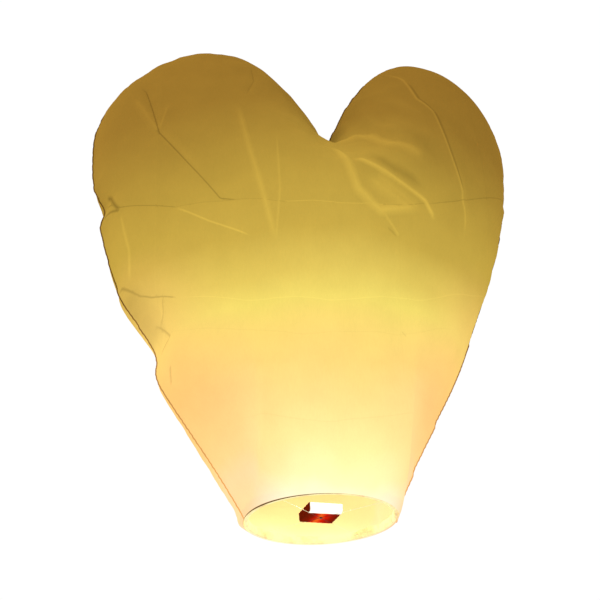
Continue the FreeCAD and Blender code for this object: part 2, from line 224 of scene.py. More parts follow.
def flat_mesh():
    """One flat sheet as even triangles. Its first points go round the cut: mouth, right side, left side."""
    right = shift_cleft(half_cut(SIDES["right"]))
    left = shift_cleft(half_cut(SIDES["left"])[::-1] * [-1.0, 1.0])
    count = int(round(2.0 * FLAT_MOUTH / (0.9 * GRID)))
    across = np.linspace(-FLAT_MOUTH, FLAT_MOUTH, count + 1)[1:-1]
    mouth = np.stack([across, np.zeros(count - 1)], 1)
    right[-1] = left[0] = (right[-1] + left[0]) / 2.0
    loop = np.vstack([mouth, right, left[1:]])
    points = np.vstack([loop, well_inside(even_rows(GRID), loop, 0.55 * GRID)])
    edges = [(i, (i + 1) % len(loop)) for i in range(len(loop))]
    points, faces, twice_area = triangles_between(points, edges, 1e-6)
    return points, faces, twice_area / 2.0, len(mouth), len(loop)


def swelling(points, faces, area, mouth_count, loop_count):
    """Square of a smooth pillow depth over the flat sheet, nothing at the seam, by conjugate gradients."""
    count = len(points)

    def cotangent(i, j, k):
        u, v = points[i] - points[k], points[j] - points[k]
        return (u * v).sum(1) / np.abs(u[:, 0] * v[:, 1] - u[:, 1] * v[:, 0])

    turns = [(0, 1, 2), (1, 2, 0), (2, 0, 1)]
    first = np.concatenate([faces[:, i] for i, j, k in turns])
    second = np.concatenate([faces[:, j] for i, j, k in turns])
    weight = np.concatenate([cotangent(faces[:, i], faces[:, j], faces[:, k]) for i, j, k in turns]) / 2.0
    weight = np.maximum(weight, 0.01)

    def spread(values):
        flow = weight * (values[first] - values[second])
        return np.bincount(first, flow, minlength=count) - np.bincount(second, flow, minlength=count)

    free = np.ones(count, bool)
    free[:loop_count] = False
    held = np.zeros(count)
    held[:mouth_count] = (MOUTH_RADIUS * np.cos(points[:mouth_count, 0] / MOUTH_RADIUS)) ** 2
    load = 2.0 * np.bincount(faces.ravel(), np.repeat(area, 3) / 3.0, minlength=count)
    answer = np.zeros(count)
    rest = np.where(free, load - spread(held), 0.0)
    step = rest.copy()
    size = rest @ rest
    for _ in range(600):
        pushed = np.where(free, spread(step), 0.0)
        length = size / (step @ pushed)
        answer += length * step
        rest -= length * pushed
        new_size = rest @ rest
        if new_size < 1e-16:
            break
        step = rest + new_size / size * step
        size = new_size
    return answer + held


def blown_bag():
    """Two flat sheets joined at the seam, blown up by hot air from a rough start. Gives arrays."""
    flat, faces, area, mouth_count, loop_count = flat_mesh()
    square = swelling(flat, faces, area, mouth_count, loop_count)
    x, z = flat.T
    rise = smooth(z / 0.35)
    depth = START_DEPTH / math.sqrt(square[loop_count:].max())
    neck = MOUTH_RADIUS * np.sin(np.clip(x / MOUTH_RADIUS, -math.pi / 2, math.pi / 2))
    beyond = np.sign(x) * (MOUTH_RADIUS + (np.abs(x) - FLAT_MOUTH) * 0.8)
    neck = np.where(np.abs(x) > FLAT_MOUTH, beyond, neck)
    start_x = (1.0 - rise) * neck + rise * x * 0.84
    start_y = np.sqrt(np.maximum(square, 0.0)) * ((1.0 - rise) + depth * rise)
    start = np.stack([start_x, -start_y, z * 0.955], 1)
    seam = np.zeros(len(flat), bool)
    seam[mouth_count:loop_count] = True
    own = np.where(~seam)[0]
    twin = np.arange(len(flat))
    twin[own] = len(flat) + np.arange(len(own))
    bag_start = np.vstack([start, start[own] * [1.0, -1.0, 1.0]])
    bag_flat = np.vstack([flat, flat[own]])
    bag_faces = np.vstack([faces, twin[faces][:, ::-1]])
    pins = list(range(mouth_count)) + [mouth_count, loop_count - 1]
    pins += [int(twin[index]) for index in range(mouth_count)]
    blown = simulate(bag_start, bag_flat, bag_faces, pins)
    return blown, bag_flat, bag_faces, len(faces), np.arange(mouth_count, loop_count), area.sum()


def simulate(start, flat, faces, pins):
    """Cloth simulation of the closed bag: its rest shape is the flat cut, so the seam puckers by itself."""
    mesh = bpy.data.meshes.new("trial")
    mesh.from_pydata(start.tolist(), [], faces.tolist())
    trial = placed("trial", mesh)
    trial.shape_key_add(name="Basis")
    cut = trial.shape_key_add(name="cut")
    cut.data.foreach_set("co", np.stack([flat[:, 0], 0.0 * flat[:, 0], flat[:, 1]], 1).ravel())
    cut.value = 0.0
    held = trial.vertex_groups.new(name="held")
    held.add(pins, 1.0, "REPLACE")
    pushed = trial.vertex_groups.new(name="pushed")
    for index, height in enumerate(flat[:, 1]):
        pushed.add([index], 0.02 + 0.98 * min(1.0, float(height)), "REPLACE")
    modifier = trial.modifiers.new("paper", "CLOTH")
    settings = modifier.settings
    for key, value in CLOTH.items():
        setattr(settings, key, value)
    settings.rest_shape_key = cut
    settings.uniform_pressure_force = PRESSURE
    settings.effector_weights.gravity = 0.0
    modifier.collision_settings.use_collision = False
    modifier.point_cache.frame_end = FRAMES
    scene = bpy.context.scene
    for number in range(1, FRAMES + 1):
        scene.frame_set(number)
    done = trial.evaluated_get(bpy.context.evaluated_depsgraph_get())
    places = read(done.data.vertices, "co", 3)
    scene.frame_set(1)
    bpy.data.objects.remove(trial)
    return places


# ---- Creases, on the flat cut ----

class Crease:
    """A crease along a path on the cut, given in millimetres: its ridge's height and half width, the painted
    shade (below zero) and painted highlight (above zero) of its line, and half the line's width. It may
    wander to the side, and it tapers at both ends."""

    def __init__(self, path, rise, reach, tint, line=LINE, wander=0.0, taper=0.15):
        path = np.array(path, float) / MILLIMETRES
        if wander:
            path = walk(path, 0.022)
            away = wander / MILLIMETRES * waves(path, 0.12, 5, int(1000 * abs(path[0, 0] + path[0, 1])) + 3)
            path = path + away[:, None] * square_to(path)
        self.path = path
        self.rise = rise / MILLIMETRES
        self.reach = reach / MILLIMETRES
        self.tint = tint
        self.line = line / MILLIMETRES
        self.taper = taper

    def lines(self):
        """The crease's middle line, and lines of points beside it."""
        middle = walk(self.path, STEP)
        offsets = (-self.line, self.line, -self.reach, self.reach)
        return middle, [middle + offset * square_to(middle) for offset in offsets]

    def shares(self, points):
        """Distance of each point from the path, and the fade towards its ends."""
        path = self.path
        best = np.full(len(points), 9.0)
        along = np.zeros(len(points))
        ends = lengths(path)
        for index in range(len(path) - 1):
            way = path[index + 1] - path[index]
            share = np.clip(((points - path[index]) @ way) / (way @ way), 0.0, 1.0)
            away = np.hypot(*(points - path[index] - share[:, None] * way).T)
            nearer = away < best
            best = np.where(nearer, away, best)
            here = (ends[index] + share * (ends[index + 1] - ends[index])) / ends[-1]
            along = np.where(nearer, here, along)
        fade = smooth(along / self.taper) * smooth((1.0 - along) / self.taper)
        return best, fade

    def relief(self, points):
        """Height of the ridge, with straight sides, and its line's painted shade (below zero) and highlight
        (above zero).
        """
        away, fade = self.shares(points)
        height = self.rise * np.maximum(0.0, 1.0 - away / self.reach) * fade
        return height, self.tint * np.maximum(0.0, 1.0 - away / self.line) * fade


def waves(points, scale, count, seed):
    """Sum of plane waves with random directions: a seeded, smooth, uneven field between about -1 and 1."""
    draw = np.random.default_rng(seed)
    total = np.zeros(len(points))
    for _ in range(count):
        turn = draw.uniform(0.0, 2.0 * math.pi)
        length = scale * draw.uniform(0.6, 1.6)
        phase = draw.uniform(0.0, 2.0 * math.pi)
        total += np.sin((points @ [math.cos(turn), math.sin(turn)]) * 2.0 * math.pi / length + phase)
    return total / math.sqrt(count)


# Packing folds: the bag was folded across and lengthwise before it was packed. They cross both sheets, and
# their lines carry painted shade and highlight.
PACKING_FOLDS = [
    Crease([(-530, 650), (-487, 616), (-430, 598), (-360, 578)], -2.6, 18, -0.9, taper=0.04),
    Crease([(-370, 579), (-220, 575), (-110, 566)], -2.4, 18, -0.35, wander=1.2, taper=0.04),
    Crease([(-120, 567), (20, 568), (120, 578)], -2.4, 18, 0.55, wander=1, taper=0.04),
    Crease([(110, 577), (160, 585), (260, 615)], -2.4, 18, -0.40, wander=1, taper=0.04),
    Crease([(250, 612), (340, 645), (500, 717), (570, 750)], -2.6, 18, -0.75, taper=0.04),
    Crease([(-360, 393), (-200, 360), (-20, 354), (200, 388), (380, 454), (460, 490)],
           1.6, 16, 0.22, wander=1.4, taper=0.06),
    Crease([(-400, 340), (-90, 281), (147, 305), (370, 383)], -1, 14, -0.14, wander=1.4),
    Crease([(-280, 145), (-30, 106), (260, 166)], 1, 14, -0.16, wander=1.4)]
PACKING_FOLDS += [Crease([(offset, 100), (offset, 980)], rise, 14, tint, wander=1.2)
                  for offset, rise, tint in ((-405, 1, 0.10), (150, -0.8, -0.08), (440, -1, -0.15))]
# Creases from handling, each sheet its own. Their lines carry painted shade and highlight; those with no rise
# are only painted shade and highlight on the facets.
FRONT_CREASES = [
    Crease([(-455, 925), (-440, 904), (-403, 766), (-262, 582), (-210, 573)],
           -5.5, 20, -1.2, line=2.2, taper=0.08),
    Crease([(-470, 900), (-418, 790), (-300, 650)], 0, 14, 0.30, line=16, taper=0.2),
    Crease([(-470, 450), (-438, 385), (-418, 330)], 0, 14, -0.55, line=30, taper=0.2),
    Crease([(-463, 882), (-429, 815), (-400, 762)], 2.6, 16, 0.5, line=7),
    Crease([(-385, 842), (-403, 766)], 1.6, 10, 0.4, line=4),
    Crease([(-365, 578), (-286, 533), (-190, 490)], 3.4, 16, 0.8, line=3),
    Crease([(-485, 605), (-460, 520), (-455, 455)], 1.8, 12, 0.5, line=4),
    Crease([(-224, 835), (-195, 697), (-169, 598), (-138, 470)], 3.2, 20, 0.50, line=10),
    Crease([(-132, 740), (-128, 595), (-140, 470)], 2, 14, 0.40, line=4),
    Crease([(-182, 1021), (-178, 944), (-201, 871)], -2, 14, -0.45, line=3),
    Crease([(-528, 668), (-487, 610)], 3, 10, -1.4, line=5),
    Crease([(-487, 610), (-528, 628)], -3, 10, -1.2, line=4),
    Crease([(-480, 472), (-440, 425), (-418, 412), (-392, 404), (-360, 393)],
           -2.6, 12, -1.0, line=2.2, taper=0.08),
    Crease([(-392, 405), (-398, 378), (-412, 356)], 2.4, 10, -0.6, line=3),
    Crease([(-420, 366), (-385, 328)], -2.6, 8, -0.9, line=3),
    Crease([(-384, 334), (-400, 312)], 2, 8, -0.9, line=3),
    Crease([(-368, 276), (-362, 246)], -1.6, 8, -0.7, line=2),
    Crease([(245, 1075), (276, 1019), (280, 930), (308, 880), (320, 786), (343, 662), (348, 560)],
           6, 24, 0.80, line=5, taper=0.10),
    Crease([(284, 1010), (288, 930), (315, 880), (327, 786), (350, 665)], 0, 10, -0.90, line=6, taper=0.10),
    Crease([(35, 830), (90, 836), (125, 820), (155, 756), (240, 722)], 5.5, 22, 0.70, line=22, taper=0.10),
    Crease([(45, 680), (144, 644), (229, 611), (252, 568)], 6.5, 22, 1.2, line=9, taper=0.10),
    Crease([(70, 640), (140, 604), (205, 575)], 0, 20, 0.50, line=24, taper=0.25),
    Crease([(90, 650), (170, 612), (215, 588)], -3, 16, 0.50, line=18),
    Crease([(75, 700), (150, 672), (240, 640)], 0, 20, -0.65, line=20, taper=0.3),
    Crease([(190, 840), (230, 790), (300, 700)], 0, 20, -0.30, line=40, taper=0.4),
    Crease([(5, 740), (51, 600), (104, 560), (222, 597)], 4.5, 18, 0.75, line=16),
    Crease([(108, 560), (150, 508)], 2.4, 12, 0.5, line=5),
    Crease([(120, 526), (142, 510)], -1.6, 8, -0.5, line=3),
    Crease([(152, 316), (168, 306)], -1.2, 8, -0.4, line=3)]
BACK_CREASES = [
    Crease([(-320, 960), (-220, 800), (-100, 700)], -2.6, 18, -0.5, line=2),
    Crease([(350, 930), (280, 800), (300, 660)], 3, 20, 0.45, line=4),
    Crease([(50, 750), (160, 670), (280, 640)], 3, 18, 0.7, line=4),
    Crease([(-160, 500), (20, 440), (120, 460)], -1.8, 14, -0.35),
    Crease([(-430, 800), (-350, 640), (-360, 560)], -2.8, 16, -0.7, line=2),
    Crease([(430, 600), (360, 440)], 1.8, 14, 0.35, line=3),
    Crease([(-200, 300), (-50, 340)], 1.4, 12, 0.25),
    Crease([(120, 960), (180, 860), (160, 760)], 2.4, 16, 0.35, line=6)]


# ---- Mesh helpers ----

def new_piece(name, places, faces, material, flat_shade=False):
    """A mesh object from arrays, with its material."""
    mesh = bpy.data.meshes.new(name)
    corners = [list(map(float, place)) for place in places]
    mesh.from_pydata(corners, [], [list(map(int, face)) for face in faces])
    mesh.update()
    mesh.polygons.foreach_set("use_smooth", [not flat_shade] * len(mesh.polygons))
    mesh.materials.append(material)
    return placed(name, mesh)


def add_values(piece, name, values):
    """Store a number or a place per point for the material."""
    values = np.asarray(values, np.float32)
    kind, key = ("FLOAT", "value") if values.ndim == 1 else ("FLOAT_VECTOR", "vector")
    piece.data.attributes.new(name, kind, "POINT").data.foreach_set(key, values.ravel())


def grid_faces(rows, columns, closed=False):
    """Faces of a grid of points stored row by row; closed joins the last column to the first."""
    faces = []
    for row in range(rows - 1):
        for column in range(columns if closed else columns - 1):
            after = (column + 1) % columns
            faces.append((row * columns + column, row * columns + after,
                          (row + 1) * columns + after, (row + 1) * columns + column))
    return faces


# ---- Materials ----

class Nodes:
    """A material's node tree, built in few words."""

    def __init__(self, name):
        self.material = bpy.data.materials.new(name)
        self.material.use_nodes = True
        self.tree = self.material.node_tree
        self.tree.nodes.clear()
        self.output = self.tree.nodes.new("ShaderNodeOutputMaterial")

    def add(self, kind, inputs=None, **settings):
        node = self.tree.nodes.new("ShaderNode" + kind)
        for key, value in settings.items():
            setattr(node, key, value)
        for key, value in (inputs or {}).items():
            if isinstance(value, bpy.types.NodeSocket):
                self.tree.links.new(value, node.inputs[key])
            else:
                node.inputs[key].default_value = value
        return node

    def math(self, operation, first, second=0.0, clamp=False):
        return self.add("Math", {0: first, 1: second}, operation=operation, use_clamp=clamp).outputs[0]

    def times(self, first, second, clamp=False):
        return self.math("MULTIPLY", first, second, clamp)

    def plus(self, first, second):
        return self.math("ADD", first, second)

    def minus(self, first, second):
        return self.math("SUBTRACT", first, second)

    def rise(self, value, low, high):
        """0 at the first value and before it, 1 at the second and past it."""
        return self.add("MapRange", {"Value": value, "From Min": low, "From Max": high}).outputs[0]

    def noise(self, place, scale, detail, roughness=0.5):
        settings = {"Vector": place, "Scale": scale, "Detail": detail, "Roughness": roughness}
        return self.add("TexNoise", settings).outputs[0]

    def split(self, vector):
        return self.add("SeparateXYZ", {0: vector}).outputs

    def vector(self, operation, first, second=(0.0, 0.0, 0.0)):
        return self.add("VectorMath", {0: first, 1: second}, operation=operation).outputs

    def level(self, vector):
        """The vector without its height."""
        parts = self.split(vector)
        return self.add("CombineXYZ", {"X": parts["X"], "Y": parts["Y"]}).outputs[0]

    def scaled(self, colour, factor):
        return self.add("VectorMath", {0: colour, "Scale": factor}, operation="SCALE").outputs[0]

    def matt(self, colour, normal):
        return self.add("BsdfDiffuse", {"Color": colour, "Roughness": 0.6, "Normal": normal}).outputs[0]

    def finish_lit(self, body, light, strength):
        """A surface that also sends out light."""
        if not isinstance(light, bpy.types.NodeSocket):
            light = (*light, 1.0)
        glow = self.add("Emission", {"Color": light, "Strength": strength}).outputs[0]
        return self.finish(self.add("AddShader", {0: body, 1: glow}).outputs[0])

    def ramp(self, factor, stops):
        node = self.add("ValToRGB", {"Fac": factor})
        elements = node.color_ramp.elements
        while len(elements) < len(stops):
            elements.new(0.5)
        for element, (place, colour) in zip(elements, stops):
            element.position = place
            element.color = (*colour, 1.0)
        return node.outputs["Color"]

    def mix(self, factor, first, second, blend="MIX"):
        node = self.add("Mix", data_type="RGBA", blend_type=blend)
        for socket, value in ((node.inputs[0], factor), (node.inputs[6], first), (node.inputs[7], second)):
            if isinstance(value, bpy.types.NodeSocket):
                self.tree.links.new(value, socket)
            else:
                socket.default_value = value if socket == node.inputs[0] else (*value, 1.0)
        return node.outputs[2]

    def bump(self, height, distance, strength=1.0):
        return self.add("Bump", {"Height": height, "Distance": distance, "Strength": strength}).outputs[0]

    def finish(self, shader):
        self.tree.links.new(shader, self.output.inputs["Surface"])
        return self.material


def object_place(nodes):
    """Coordinates in the shared frame, because every mesh sits at the origin."""
    return nodes.add("TexCoord").outputs["Object"]


def rest_place(nodes):
    """The same coordinates as they are at rest, so that the flame's light stays with paper that bends."""
    return nodes.add("Attribute", attribute_name="rest_place").outputs["Vector"]


PAPER = (0.302, 0.160, 0.0220)  # paper by plain light, linear
# Light of the flame that comes through the paper, by distance from the flame in metres.
GLOW = [(0.14, (0.96, 0.97, 0.85)), (0.165, (0.90, 0.91, 0.52)), (0.20, (0.78, 0.78, 0.37)),
        (0.24, (0.73, 0.62, 0.26)), (0.28, (0.70, 0.55, 0.185)), (0.33, (0.68, 0.575, 0.160)),
        (0.37, (0.61, 0.575, 0.132)), (0.42, (0.48, 0.43, 0.090)), (0.50, (0.30, 0.26, 0.045)),
        (0.60, (0.215, 0.185, 0.030)),
        (0.70, (0.105, 0.092, 0.015)), (0.80, (0.030, 0.028, 0.005)), (0.95, (0.004, 0.004, 0.001))]
PEACH = (0.72, 0.40, 0.17)  # the same light near the seams, where it comes through at a slant


def rim_shade(nodes, place):
    """1 on the lowest few millimetres of paper that the hoop shades, most at the front left, else 0."""
    flat_place = nodes.level(place)
    heading = nodes.vector("NORMALIZE", flat_place)[0]
    facing = nodes.vector("DOT_PRODUCT", heading, (-0.88, -0.47, 0.0))["Value"]
    facing = nodes.math("MAXIMUM", facing, 0.0)
    front = nodes.math("MAXIMUM", nodes.times(nodes.split(heading)["Y"], -1.0), 0.0)
    limit = nodes.times(nodes.math("POWER", facing, 2.0), 0.0017)
    limit = nodes.plus(limit, nodes.times(front, 0.0004))
    below = nodes.times(nodes.minus(limit, nodes.split(place)["Z"]), 1200.0, clamp=True)
    radius = nodes.vector("LENGTH", flat_place)["Value"]
    width = nodes.plus(nodes.times(facing, 0.0028), nodes.times(front, 0.0008))
    rim = nodes.minus(MOUTH_RADIUS, width)
    outside = nodes.times(nodes.minus(radius, rim), 1500.0, clamp=True)
    return nodes.times(below, outside)


def paper_material(name):
    """Thin oiled tissue: fibres, faint mottling, painted shade and highlight along the creases, painted shade
    where the hoop shades it, and the flame's light coming through it.
    """
    nodes = Nodes(name)
    place = rest_place(nodes)
    # crease: painted shade and highlight along the crease lines
    crease = nodes.add("Attribute", attribute_name="crease").outputs["Fac"]
    edge = nodes.add("Attribute", attribute_name="edge").outputs["Fac"]
    distance = nodes.vector("LENGTH", nodes.vector("SUBTRACT", place, FLAME)[0])["Value"]
    patch = nodes.noise(place, 4.5, 3.0, 0.55)
    distance = nodes.plus(distance, nodes.times(nodes.minus(patch, 0.5), 0.05))
    distance = nodes.minus(distance, nodes.times(edge, 0.030))
    light = nodes.ramp(distance, GLOW)
    low = nodes.rise(nodes.split(place)["Z"], 0.50, 0.20)
    slant = nodes.times(nodes.math("POWER", edge, 1.6), low)
    light = nodes.mix(nodes.times(slant, 0.75), light, PEACH)
    mottle = nodes.noise(place, 14.0, 6.0, 0.62)
    fibre_place = nodes.add("Mapping", {"Vector": place, "Scale": (1.0, 1.0, 0.16)}).outputs[0]
    fibres = nodes.noise(fibre_place, 380.0, 3.0, 0.7)
    uneven_and_crease_shade = nodes.plus(nodes.times(mottle, 0.16),
                        nodes.times(fibres, 0.09))
    uneven_and_crease_shade = nodes.plus(uneven_and_crease_shade, 0.875)
    # the crease lines' painted shade and highlight darken and lighten both the paper and its glow
    uneven_and_crease_shade = nodes.times(uneven_and_crease_shade, nodes.plus(nodes.times(crease, 0.30), 1.0))
    shade = nodes.minus(1.0, rim_shade(nodes, place))
    ridges = nodes.add("TexNoise", {"Vector": place, "Scale": 9.0, "Detail": 4.0, "Roughness": 0.5},
                       noise_type="RIDGED_MULTIFRACTAL")
    height = nodes.plus(nodes.times(fibres, 0.3), mottle)
    height = nodes.plus(height, nodes.times(ridges.outputs[0], 1.2))
    normal = nodes.bump(height, 0.0009, 0.6)
    tone = nodes.scaled(nodes.scaled(PAPER, uneven_and_crease_shade), nodes.plus(nodes.times(shade, 0.72), 0.28))
    through = nodes.add("BsdfTranslucent", {"Color": (0.50, 0.27, 0.05, 1.0), "Normal": normal}).outputs[0]
    body = nodes.add("MixShader", {0: 0.10, 1: nodes.matt(tone, normal), 2: through}).outputs[0]
    return nodes.finish_lit(body, light, nodes.times(uneven_and_crease_shade, shade))


def hem_material():
    """Paper turned round the hoop: a painted peach glow where the flame lights it, with sooty smudges, and
    painted shade underneath where the hoop shades it.
    """
    nodes = Nodes("tissue_hem")
    place = object_place(nodes)
    shade = nodes.minus(1.0, rim_shade(nodes, place))
    soot = nodes.noise(place, 26.0, 4.0, 0.6)
    light = nodes.ramp(soot, [(0.32, (0.48, 0.37, 0.22)), (0.44, (0.72, 0.62, 0.35)),
                                         (0.56, (0.84, 0.80, 0.46))])
    fibres = nodes.noise(place, 300.0, 3.0, 0.7)
    normal = nodes.bump(fibres, 0.0003, 0.8)
    tone = nodes.ramp(fibres, [(0.3, (0.24, 0.13, 0.02)), (0.7, (0.36, 0.21, 0.04))])
    tone = nodes.scaled(tone, nodes.plus(nodes.times(shade, 0.8), 0.2))
    return nodes.finish_lit(nodes.matt(tone, normal), light, shade)


def margin_material():
    """Glued margin: two layers and dried paste, darker than the sheet, with a painted glow of the flame's
    light near the mouth.
    """
    nodes = Nodes("tissue_margin")
    place = rest_place(nodes)
    paste = nodes.noise(place, 60.0, 4.0, 0.6)
    tone = nodes.ramp(paste, [(0.3, (0.13, 0.062, 0.009)), (0.7, (0.24, 0.12, 0.018))])
    low = nodes.rise(nodes.split(place)["Z"], 0.45, 0.05)
    normal = nodes.bump(paste, 0.0004, 0.8)
    # painted glow of the flame's light, strongest near the mouth
    return nodes.finish_lit(nodes.matt(tone, normal), (0.70, 0.36, 0.12), low)


def bamboo_material():
    """Split bamboo: long fibres round the hoop, darker skin patches and a scorched tint."""
    nodes = Nodes("bamboo_strip")
    place = object_place(nodes)
    parts = nodes.split(place)
    turn = nodes.math("ARCTAN2", parts["Y"], parts["X"])
    radius = nodes.vector("LENGTH", place)["Value"]
    along = nodes.add("CombineXYZ", {"X": nodes.times(turn, 0.35), "Y": parts["Z"], "Z": radius})
    fibre = nodes.noise(along.outputs[0], 900.0, 4.0, 0.65)
    stain = nodes.noise(place, 22.0, 3.0)
    colour = nodes.ramp(fibre, [(0.25, (0.06, 0.035, 0.010)), (0.55, (0.20, 0.12, 0.035)),
                                           (0.80, (0.34, 0.22, 0.08))])
    colour = nodes.mix(stain, colour, (0.05, 0.03, 0.008))
    normal = nodes.bump(fibre, 0.0003)
    shader = nodes.add("BsdfPrincipled", {"Base Color": colour, "Roughness": 0.55, "Normal": normal})
    return nodes.finish(shader.outputs[0])


def wire_material():
    """Drawn iron wire, dull and blued by heat, with a painted glow on its outer part and dark red nearer the
    middle.
    """
    nodes = Nodes("annealed_wire")
    place = object_place(nodes)
    scale = nodes.noise(place, 240.0, 4.0)
    tint = nodes.noise(place, 18.0, 2.0)
    colour = nodes.ramp(tint, [(0.35, (0.34, 0.30, 0.24)), (0.6, (0.46, 0.40, 0.30)),
                                          (0.8, (0.32, 0.32, 0.34))])
    rough = nodes.plus(nodes.times(scale, 0.3), 0.25)
    normal = nodes.bump(scale, 0.0001)
    # glare: painted glow on the wire beyond a few centimetres from the middle; nearer the middle the colour
    # turns dark red
    glare = nodes.rise(nodes.vector("LENGTH", nodes.level(place))["Value"], 0.034, 0.046)
    colour = nodes.mix(glare, (0.05, 0.012, 0.008), colour)
    shader = nodes.add("BsdfPrincipled", {"Base Color": colour, "Metallic": 0.7, "Roughness": rough,
                                          "Normal": normal}).outputs[0]
    return nodes.finish_lit(shader, (0.62, 0.52, 0.27), glare)


def thread_material():
    """Cotton thread, wound side by side."""
    nodes = Nodes("cotton_thread")
    place = object_place(nodes)
    wave = nodes.add("TexWave", {"Vector": place, "Scale": 700.0, "Distortion": 1.2, "Detail": 2.0},
                     wave_type="BANDS", bands_direction="X")
    colour = nodes.ramp(wave.outputs["Fac"], [(0.0, (0.30, 0.26, 0.18)), (1.0, (0.75, 0.70, 0.56))])
    normal = nodes.bump(wave.outputs["Fac"], 0.0002)
    shader = nodes.add("BsdfPrincipled", {"Base Color": colour, "Roughness": 0.85, "Normal": normal})
    return nodes.finish(shader.outputs[0])


def fuel_material():
    """Waxed sheets on fire: dark red below and on the left side, with a bright streak across the underside,
    and a painted white glare of the flame on the other sides and along the front edge."""
    nodes = Nodes("burning_wax")
    place = object_place(nodes)
    turn = (0.0, 0.0, math.radians(-FUEL_TURN))
    parts = nodes.split(nodes.add("Mapping", {"Vector": place, "Rotation": turn}).outputs[0])
    lick = nodes.noise(place, 45.0, 3.0, 0.55)
    grain = nodes.noise(place, 260.0, 4.0)
    side = nodes.times(nodes.plus(parts["X"], FUEL_HALF), 0.5 / FUEL_HALF)
    side = nodes.plus(side, nodes.times(nodes.minus(lick, 0.5), 0.22))
    colour = nodes.ramp(side, [(0.05, (0.09, 0.006, 0.0006)), (0.24, (0.20, 0.006, 0.0006)),
                               (0.36, (0.60, 0.010, 0.001)), (0.47, (0.92, 0.14, 0.012)),
                               (0.53, (0.90, 0.09, 0.008)), (0.62, (0.74, 0.010, 0.001)),
                               (0.78, (0.34, 0.006, 0.0006)), (0.95, (0.12, 0.005, 0.0005))])
    # Painted glare of the flame: white on the upper sheets' sides and along the front edge, not at the left
    # end.
    up = nodes.rise(parts["Z"], FUEL_LOW.z + 0.0016, FUEL_LOW.z + 0.0048)
    lit_side = nodes.rise(parts["X"], -0.92 * FUEL_HALF, -0.86 * FUEL_HALF)
    ragged = nodes.plus(parts["Y"], nodes.times(lick, 0.006))
    front = nodes.rise(ragged, -0.44 * FUEL_HALF, -0.58 * FUEL_HALF)
    painted_glare = nodes.times(nodes.math("MAXIMUM", up, front), lit_side)
    colour = nodes.mix(painted_glare, colour, (1.8, 1.7, 1.4))
    base = nodes.ramp(grain, [(0.3, (0.035, 0.003, 0.001)), (0.7, (0.09, 0.007, 0.002))])
    normal = nodes.bump(grain, 0.0004)
    return nodes.finish_lit(nodes.matt(base, normal), colour, 0.9)


PAPER_SHEET = paper_material("tissue_paper")
PAPER_HEM = hem_material()
PAPER_SEAM = margin_material()
BAMBOO = bamboo_material()
WIRE = wire_material()
THREAD = thread_material()
FUEL = fuel_material()


# ---- Bag: two sheets and their glued margins ----

class Scatter:
    """Points that keep a least distance from each other."""

    def __init__(self):
        self.points = []
        self.cells = {}

    def add(self, point, gap):
        """Number of the new point, or of one that is already there within the gap."""
        column, row = int(point[0] // FINE), int(point[1] // FINE)
        for i in (column - 1, column, column + 1):
            for j in (row - 1, row, row + 1):
                for index in self.cells.get((i, j), ()):
                    other = self.points[index]
                    if math.hypot(other[0] - point[0], other[1] - point[1]) < gap:
                        return index
        self.cells.setdefault((column, row), []).append(len(self.points))
        self.points.append((float(point[0]), float(point[1])))
        return len(self.points) - 1


def finished_cut(loop, creases):
    """Flat triangles of the finished sheet, with an edge along every crease."""
    scatter = Scatter()
    for point in loop:
        scatter.add(point, 0.0)
    edges = [(i, (i + 1) % len(loop)) for i in range(len(loop))]
    beside = []
    for crease in creases:
        middle, others = crease.lines()
        middle = well_inside(middle, loop, 0.4 * FINE)
        numbers = [scatter.add(point, 0.0012) for point in middle]
        for first, second, start, end in zip(numbers, numbers[1:], middle, middle[1:]):
            if first != second and math.hypot(*(end - start)) < 1.5 * STEP:
                edges.append((first, second))
        beside += others
    for point in well_inside(np.vstack(beside), loop, 0.4 * FINE):
        scatter.add(point, 0.0013)
    for point in well_inside(even_rows(FINE), loop, 0.5 * FINE):
        scatter.add(point, 0.55 * FINE)
    points, faces, _ = triangles_between(scatter.points, edges, 1e-7, least=1e-12)
    return points, faces


def carried(points, flat, places, normals, quads):
    """Where points of the flat cut lie on the blown sheet, and which way the sheet faces there."""
    triangles = np.vstack([quads[:, [0, 1, 2]], quads[:, [0, 2, 3]]])
    tree = BVHTree.FromPolygons(np.c_[flat, np.zeros(len(flat))].tolist(), triangles.tolist())
    hits = [tree.find_nearest((float(x), float(z), 0.0)) for x, z in points]
    spots = np.array([hit[0][:2] for hit in hits])
    chosen = triangles[[hit[2] for hit in hits]]
    a, b, c = (flat[chosen[:, corner]] for corner in range(3))

    def twice_area(p, q, r):
        return (q - p)[:, 0] * (r - p)[:, 1] - (q - p)[:, 1] * (r - p)[:, 0]

    whole = twice_area(a, b, c)
    share_b = twice_area(a, spots, c) / whole
    share_c = twice_area(a, b, spots) / whole
    shares = np.stack([1.0 - share_b - share_c, share_b, share_c], 1)
    where = sum(shares[:, corner, None] * places[chosen[:, corner]] for corner in range(3))
    facing = sum(shares[:, corner, None] * normals[chosen[:, corner]] for corner in range(3))
    return where, facing / np.linalg.norm(facing, axis=1)[:, None]


# Places on the left seam where the paper is drawn in: place on the cut, how far in, and reach up and down.
TUCK_DEPTH = 0.045
TUCKS = [((-0.535, 0.655), 0.015, 0.060, 0.045), ((-0.405, 0.335), 0.027, 0.130, 0.085)]
# Tight seam left of the cleft: how far to the right, height over the cleft, reach up, down and to the left.
CLEFT_PULL = (0.014, 0.025, 0.17, 0.026, 0.08)


